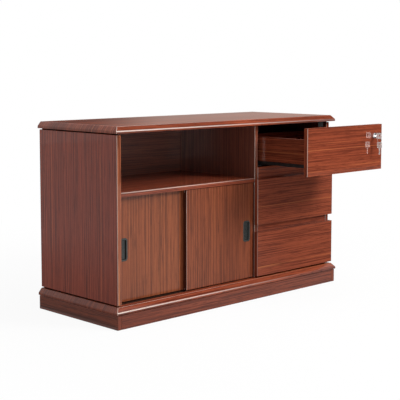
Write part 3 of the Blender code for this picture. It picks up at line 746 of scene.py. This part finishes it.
# Sliding doors: grooved along the head and foot for their strips, and cut for the pull
doorLook = {
    "arris": 0.0012,
    "footAir": 0.0016,      # more shadow under the doors
    "mortiseRadius": 0.0113,
    "shadedEdgeTone": 0.28,
    "edgeSeed": 50,         # added to the door's seed
    "edgeFacing": 0.9,      # an upright edge looks at least this squarely sideways
    "edgeLeast": 0.002,     # and has more area than the mortise's walls
}
doors = {
    "left": {"seed": 37, "tone": (1.01, 1.25, 1.05)},
    "right": {"seed": 32, "tone": (0.90, 1.06, 0.94)},
}
for side, door in doors.items():
    node = f"door_{side}_panel"
    low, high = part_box(node)
    stripLow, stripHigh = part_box(f"door_{side}_runner_strip")
    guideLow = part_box(f"door_{side}_guide_strip")[0]
    pullLow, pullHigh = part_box(f"door_{side}_pull")
    near, far = stripLow.y - fitAir, stripHigh.y + fitAir
    foot, runner, guide = low.z + doorLook["footAir"], stripHigh.z + fitAir, guideLow.z - fitAir
    outline = [
        (low.y, foot), (near, foot), (near, runner), (far, runner), (far, foot), (high.y, foot),
        (high.y, high.z), (far, high.z), (far, guide), (near, guide), (near, high.z), (low.y, high.z),
    ]
    bm = sweep(outline, "x", low.x, high.x)
    ease(bm, outerEdges(bm), doorLook["arris"])
    around = Vector((fitAir, 0, fitAir))
    pocket(
        bm, largestFace(bm, (0, -1, 0)), pullLow - around, pullHigh + around, pullHigh.y + fitAir - low.y,
        doorLook["mortiseRadius"],
    )
    bm.normal_update()
    # painted shade: the doors' upright edges get a much darker copy of the veneer
    for face in bm.faces:
        if abs(face.normal.x) > doorLook["edgeFacing"] and face.calc_area() > doorLook["edgeLeast"]:
            face.material_index = 1
    edge = veneer("Z", door["seed"] + doorLook["edgeSeed"], doorLook["shadedEdgeTone"])
    place(node + "_veneered", bm, node, veneer("Z", door["seed"], door["tone"]), edge)
print("doors:", len(doors))


# Black flush pulls: a rounded plate with a sunk cup
pullLook = {
    "radius": 0.011,
    "cornerSteps": 6,
    "rim": 0.006,
    "floor": 0.0072,        # thickness left under the cup
    "draft": 0.0006,
    "lip": 0.001,
    "flatFacing": 0.95,     # faces that look less squarely to the front or back are smooth
    "sharp": math.radians(40),
}
for side in doors:
    node = f"door_{side}_pull"
    low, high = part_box(node)
    bm = bmesh.new()
    flatFace(bm, [(x, high.y, z) for x, z in cornersOf(low.x, high.x, low.z, high.z)])
    bevel(bm, bm.verts[:], pullLook["radius"], pullLook["cornerSteps"], "VERTICES")
    drawOut(bm, bm.faces[:], (0, low.y - high.y, 0))
    bmesh.ops.recalc_face_normals(bm, faces=bm.faces)
    cup = largestFace(bm, (0, -1, 0))
    depth = high.y - low.y - pullLook["floor"]
    bmesh.ops.inset_individual(bm, faces=[cup], thickness=pullLook["rim"], depth=0.0)
    walls = bmesh.ops.inset_individual(bm, faces=[cup], thickness=pullLook["draft"], depth=-depth)["faces"]
    # painted shade in the cup: the floor and the walls get the darker copies
    cup.material_index = 1
    for wall in walls:
        wall.material_index = 2
    rims = [edge for edge in bm.edges if all(vert.co.y < low.y + hair for vert in edge.verts)
            and edge.calc_face_angle(0.0) > pullLook["sharp"]]
    ease(bm, rims, pullLook["lip"])
    for face in bm.faces:
        face.smooth = face.smooth or abs(face.normal.y) < pullLook["flatFacing"]
    place(node + "_cup", bm, node, pullBlack, cupFloorShade, cupWallShade)
print("pulls")


# Lock head: a turned disc with a rounded shoulder, on a barrel
lockLook = {
    "shoulder": 0.0022, "shoulderSteps": 6, "lip": 0.0008, "barrel": 0.008, "steps": 48,
    "sharp": math.radians(40),
}
lockHinge = next(joint for joint in frame["joints"] if joint["name"] == "lock_turn")
lockAxis = Vector(lockHinge["pos_m"])
low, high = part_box("lock_housing")
plugLow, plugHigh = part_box("lock_plug")
headRadius = (high.x - low.x) / 2
bore = (plugHigh.x - plugLow.x) / 2 + fitAir
seat = lockAxis.y - fitAir
shoulder, lip, barrel = lockLook["shoulder"], lockLook["lip"], lockLook["barrel"]
profile = [(bore, low.y + lip), (bore + lip, low.y), (headRadius - shoulder, low.y)]
for step in range(1, lockLook["shoulderSteps"] + 1):
    turn = math.pi / 2 * step / lockLook["shoulderSteps"]
    profile.append((headRadius - shoulder * (1 - math.sin(turn)), low.y + shoulder * (1 - math.cos(turn))))
profile += [(headRadius, seat), (barrel, seat), (barrel, high.y), (bore, high.y)]
bm = bmesh.new()
ring = [bm.verts.new((lockAxis.x + radius, y, lockAxis.z)) for radius, y in profile]
edges = [bm.edges.new((ring[i - 1], ring[i])) for i in range(len(ring))]
bmesh.ops.spin(
    bm, geom=ring + edges, cent=lockAxis, axis=(0, 1, 0), angle=2 * math.pi, steps=lockLook["steps"],
    use_merge=True,
)
bmesh.ops.remove_doubles(bm, verts=bm.verts, dist=hair)
for face in bm.faces:
    face.smooth = True
piece = place("lock_head_turned", bm, "lock_housing", chrome)
piece.data.set_sharp_from_angle(angle=lockLook["sharp"])
print("lock head")


# Key ring: two turns of spring wire lying side by side
ringLook = {"wire": 0.0008, "turns": 2, "stepsPerTurn": 40, "sides": 10}
low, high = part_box("key_ring")
centre = (low + high) / 2
wire = ringLook["wire"]
radius = (high.x - low.x) / 2 - wire
turnSteps = ringLook["turns"] * ringLook["stepsPerTurn"]
bm = bmesh.new()
bmesh.ops.create_circle(bm, cap_ends=True, segments=ringLook["sides"], radius=wire / 2)
bmesh.ops.translate(bm, vec=centre + Vector((radius, -wire / 2, 0)), verts=bm.verts)
bmesh.ops.spin(
    bm, geom=bm.verts[:] + bm.edges[:] + bm.faces[:], cent=centre, axis=(0, 1, 0),
    dvec=(0, wire / turnSteps, 0), angle=2 * math.pi * ringLook["turns"], steps=turnSteps, use_merge=False,
)
for face in bm.faces:
    face.smooth = len(face.verts) == 4
place("key_ring_split", bm, "key_ring", keyNickel)
print("key ring")


# Keys: a rounded bow with its hole, a notched blade, and softened edges
keyLook = {
    "bowRadius": 0.004, "cornerSteps": 5, "inset": 0.003,
    "bladeWidth": 0.0065, "tip": 0.0016, "edge": 0.00025, "edgeSteps": 2, "sharp": math.radians(60),
    "notches": (0.0, 0.0, 0.0011, 0.0004, 0.0017, 0.0008, 0.0014, 0.0003, 0.0010),
}
keys = {
    # hole: length along the key, width across it, and how far in from the bow's outer end
    "key": {"along": (0, 1, 0), "bow": 0.023, "hole": (0.005, 0.011, 0.005)},
    "spare_key": {"along": (0, 0, -1), "bow": 0.024, "hole": (0.006, 0.006, 0.004)},
}


def keyMesh(low, high, key):
    along = Vector(key["along"])
    across = Vector((0, abs(along.z), abs(along.y)))
    bow, halfBow = key["bow"], (high - low).dot(across) / 2
    length, halfBlade = abs((high - low).dot(along)), keyLook["bladeWidth"] / 2
    start = (low + high) / 2 - along * length / 2
    start.x = low.x

    def spot(run, side):
        return start + along * run + across * side

    def runOf(vert):
        return (vert.co - start).dot(along)

    def sideOf(vert):
        return (vert.co - start).dot(across)

    # the bow and its hole
    bm = bmesh.new()
    flatFace(bm, [spot(*corner) for corner in cornersOf(0, bow, -halfBow, halfBow)])
    bevel(bm, bm.verts[:], keyLook["bowRadius"], keyLook["cornerSteps"], "VERTICES")
    plate = next(iter(bm.faces))
    bmesh.ops.inset_individual(bm, faces=[plate], thickness=keyLook["inset"], depth=0.0)
    holeLength, holeWidth, holeIn = key["hole"]
    narrowing = holeLength / (bow - 2 * keyLook["inset"])
    slimming = holeWidth / (2 * halfBow - 2 * keyLook["inset"])
    for vert in plate.verts:
        run = holeIn + holeLength / 2 + (runOf(vert) - bow / 2) * narrowing
        vert.co = spot(run, sideOf(vert) * slimming)
    bmesh.ops.delete(bm, geom=[plate], context="FACES_ONLY")

    # the blade, drawn out of the bow's inner end
    shoulder = [edge for edge in bm.edges if all(runOf(vert) > bow - hair for vert in edge.verts)]
    neck = vertsOf(bmesh.ops.subdivide_edges(bm, edges=shoulder, cuts=2)["geom_inner"])
    for vert in neck:
        vert.co = spot(bow, math.copysign(halfBlade, sideOf(vert)))
    neckEdge = [edge for edge in bm.edges if set(edge.verts) == set(neck)]
    tip = vertsOf(bmesh.ops.extrude_edge_only(bm, edges=neckEdge)["geom"])
    bmesh.ops.translate(bm, vec=along * (length - bow), verts=tip)
    bevel(bm, tip, keyLook["tip"], 1, "VERTICES")

    # the notches along one edge of the blade
    bitting = [edge for edge in bm.edges if all(
        abs(sideOf(vert) - halfBlade) < hair and runOf(vert) > bow - hair for vert in edge.verts
    )]
    cut = bmesh.ops.subdivide_edges(bm, edges=bitting, cuts=len(keyLook["notches"]))
    for vert, depth in zip(sorted(vertsOf(cut["geom_inner"]), key=runOf), keyLook["notches"]):
        vert.co -= across * depth

    drawOut(bm, bm.faces[:], (high.x - low.x, 0, 0))
    bmesh.ops.recalc_face_normals(bm, faces=bm.faces)
    sharp = [edge for edge in bm.edges if abs(edge.calc_face_angle(0.0)) > keyLook["sharp"]]
    ease(bm, sharp, keyLook["edge"], keyLook["edgeSteps"])
    return bm


for node, key in keys.items():
    place(node + "_cut", keyMesh(*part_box(node), key), node, keyNickel)
print("keys:", len(keys))


# Hardware whose solids are right as they are
carriedOver = {
    darkSteel: [node for node in nodes if node.endswith(("_runner", "_slider", "_strike", "_cam"))],
    trackBrown: [node for node in nodes if node.endswith("_strip") or node.startswith("door_track")],
    chrome: ["lock_plug"],
}
for material, members in carriedOver.items():
    for node in members:
        nodes[node].material_slots[0].material = material
print("carried over:", sum(len(members) for members in carriedOver.values()))


# Floor and backdrop: white to the camera, with a faint shadow round the plinth
stageLook = {
    "floorSize": 14.0,
    "seenTone": (0.97, 0.97, 0.97),
    "mirrorTone": (0.80, 0.80, 0.80),
    "bounceTone": (0.45, 0.45, 0.45),
    "roughness": 0.9,
    "poolInner": 0.7,       # where the floor's shadow starts to fade, metres from the middle
    "poolOuter": 2.2,
    "poolShare": 0.07,      # share of real shading in the floor near the object
    "fill": 0.32,
}
white = (1.0, 1.0, 1.0)
seenRays = ("Is Camera Ray", "Is Glossy Ray", "Is Transmission Ray")


def anyRay(tree, *names):
    rays = addNode(tree, "ShaderNodeLightPath")
    total = rays.outputs[names[0]]
    for name in names[1:]:
        total = maths(tree, "MAXIMUM", total, rays.outputs[name])
    return total


def stagePlane(name, bm, material):
    plane = addObject(name, bm, material)
    return plane


def glowing(tree, colour):
    glow = addNode(tree, "ShaderNodeEmission")
    feed(tree, glow.inputs["Color"], colour)
    return glow.outputs["Emission"]


floorMaterial, tree, shader = newMaterial("pale_floor")
seen = anyRay(tree, *seenRays)
feedAll(tree, shader, {
    "Base Color": mixColour(tree, seen, stageLook["bounceTone"], stageLook["seenTone"]),
    "Roughness": stageLook["roughness"],
    "Specular IOR Level": 0.0,
})
glow = glowing(tree, mixColour(tree, anyRay(tree, "Is Glossy Ray"), white, stageLook["mirrorTone"]))
distance = vectorMaths(tree, "LENGTH", objectCoords(tree))["Value"]
pool = (stageLook["poolInner"], stageLook["poolOuter"])
glowShare = fade(tree, distance, *pool, 1.0 - stageLook["poolShare"], 1.0)
surface = mixShaders(tree, maths(tree, "MULTIPLY", glowShare, seen), shader.outputs["BSDF"], glow)
feed(tree, tree.nodes["Material Output"].inputs["Surface"], surface)
bm = bmesh.new()
bmesh.ops.create_grid(bm, x_segments=1, y_segments=1, size=stageLook["floorSize"] / 2)
stagePlane("floor", bm, floorMaterial)

world = bpy.data.worlds.new("studio")
scene.world = world
world.use_nodes = True
tree = world.node_tree
fill = tree.nodes["Background"]
feedAll(tree, fill, {"Color": (*white, 1.0), "Strength": stageLook["fill"]})
backdrop = addNode(tree, "ShaderNodeBackground")
feed(tree, backdrop.inputs["Color"], (*white, 1.0))
sky = mixShaders(tree, anyRay(tree, *seenRays), fill.outputs["Background"], backdrop.outputs["Background"])
feed(tree, tree.nodes["World Output"].inputs["Surface"], sky)
print("floor and backdrop")


# Glowing cards that only the gloss sees, painted reflections of a studio. Each has a corner and two edges;
# its tone runs between the points of fade, and each pair in clear is where it has dissolved and where it is
# whole
cards = {
    "front_mat": {
        "corner": (-0.50, -0.45, 0.002), "along": (6.0, 0, 0), "up": (0, -3.1, 0),
        "fade": ((-0.422, -0.352, 0.002), (0.269, 0.224, 0.002)),
        "tones": ((0.95, 0.95, 0.95), (0.12, 0.12, 0.12)),
        "clear": (((1.464, 0.596, 0.002), (0.888, 0.044, 0.002)),),
    },
    "left_mat": {
        "corner": (-0.62, -0.60, 0.002), "along": (-1.6, 0, 0), "up": (0, 2.6, 0),
        "fade": ((-0.62, 0.0, 0.002), (-1.60, 0.0, 0.002)),
        "tones": ((0.42, 0.40, 0.39), (0.60, 0.58, 0.57)),
        "clear": (
            ((-2.20, 0.0, 0.002), (-0.80, 0.0, 0.002)), ((-0.62, -0.60, 0.002), (-0.62, -0.25, 0.002)),
            ((-0.62, 2.00, 0.002), (-0.62, 1.00, 0.002)),
        ),
    },
    "far_flag": {
        "corner": (1.5, -3.6, 0.0), "along": (5.5, 0, 0), "up": (0, 0, 1.0),
        "fade": ((1.5, -3.6, 0.0), (2.5, -3.6, 0.0)),
        "tones": ((0.20, 0.20, 0.20), (0.01, 0.01, 0.01)),
    },
    "high_flag": {
        "corner": (4.0, -3.1, 2.2), "along": (0, 5.1, 0), "up": (0, 0, 6.2),
        "fade": ((4.0, -3.1, 2.2), (4.0, 2.0, 2.2)),
        "tones": ((0.02, 0.02, 0.02), (0.02, 0.02, 0.02)),
    },
    "back_card": {
        "corner": (0.6, 6.0, 0.4), "along": (14.4, 0, 0), "up": (0, 0, 2.6),
        "fade": ((4.0, 6.0, 0.4), (5.4, 6.0, 0.4)),
        "tones": ((0.11, 0.087, 0.082), (0.52, 0.41, 0.365)),
        "clear": (
            ((0.6, 6.0, 0.4), (3.2, 6.0, 0.4)), ((15.0, 6.0, 0.4), (9.0, 6.0, 0.4)),
            ((0.6, 6.0, 3.0), (0.6, 6.0, 1.6)),
        ),
    },
}


def shareAlong(tree, start, end):
    # 0 at the start and 1 at the end, smooth between
    start, run = Vector(start), Vector(end) - Vector(start)
    share = vectorMaths(tree, "DOT_PRODUCT", objectCoords(tree, shift=-start), run / run.length_squared)
    return fade(tree, share["Value"], 0.0, 1.0)


for name, card in cards.items():
    corner, along, up = (Vector(card[part]) for part in ("corner", "along", "up"))
    bm = bmesh.new()
    flatFace(bm, (corner, corner + along, corner + along + up, corner + up))
    material, tree = newMaterial(name + "_glow")[:2]
    surface = glowing(tree, mixColour(tree, shareAlong(tree, *card["fade"]), *card["tones"]))
    for gone, whole in card.get("clear", ()):
        dissolved = addNode(tree, "ShaderNodeBsdfTransparent").outputs["BSDF"]
        surface = mixShaders(tree, shareAlong(tree, gone, whole), dissolved, surface)
    feed(tree, tree.nodes["Material Output"].inputs["Surface"], surface)
    plane = stagePlane(name, bm, material)
    plane.visible_camera = False
    plane.visible_diffuse = False
    plane.visible_shadow = False
print("cards:", len(cards))


# Softboxes: a key on the right, one overhead, a weak one on the left, and a small one behind the camera,
# the only one that glints in the gloss, where the cards do the rest
softboxes = {
    "key": {"place": (2.28, -4.15, 3.4), "aim": (0.0, -0.2, 0.35), "size": 1.6, "power": 172.0},
    "overhead": {"place": (0.75, -1.85, 5.0), "aim": (0.0, -0.2, 0.35), "size": 4.0, "power": 112.0},
    "left": {"place": (-3.5, 0.8, 1.6), "aim": (-0.6, 0.0, 0.4), "size": 2.0, "power": 5.0},
    "camera": {
        "place": (-3.27, -3.26, 0.28), "aim": (0.5, -0.5, 0.62), "size": 0.4, "power": 6.0, "glints": True,
    },
}
for name, softbox in softboxes.items():
    data = bpy.data.lights.new(name + "_softbox", "AREA")
    data.shape = "SQUARE"
    data.size = softbox["size"]
    data.energy = softbox["power"]
    lamp = bpy.data.objects.new(name + "_softbox", data)
    lamp.location = softbox["place"]
    towards = Vector(softbox["aim"]) - Vector(softbox["place"])
    lamp.rotation_euler = towards.to_track_quat("-Z", "Y").to_euler()
    lamp.visible_camera = False
    lamp.visible_glossy = softbox.get("glints", False)
    scene.collection.objects.link(lamp)
print("softboxes:", len(softboxes))
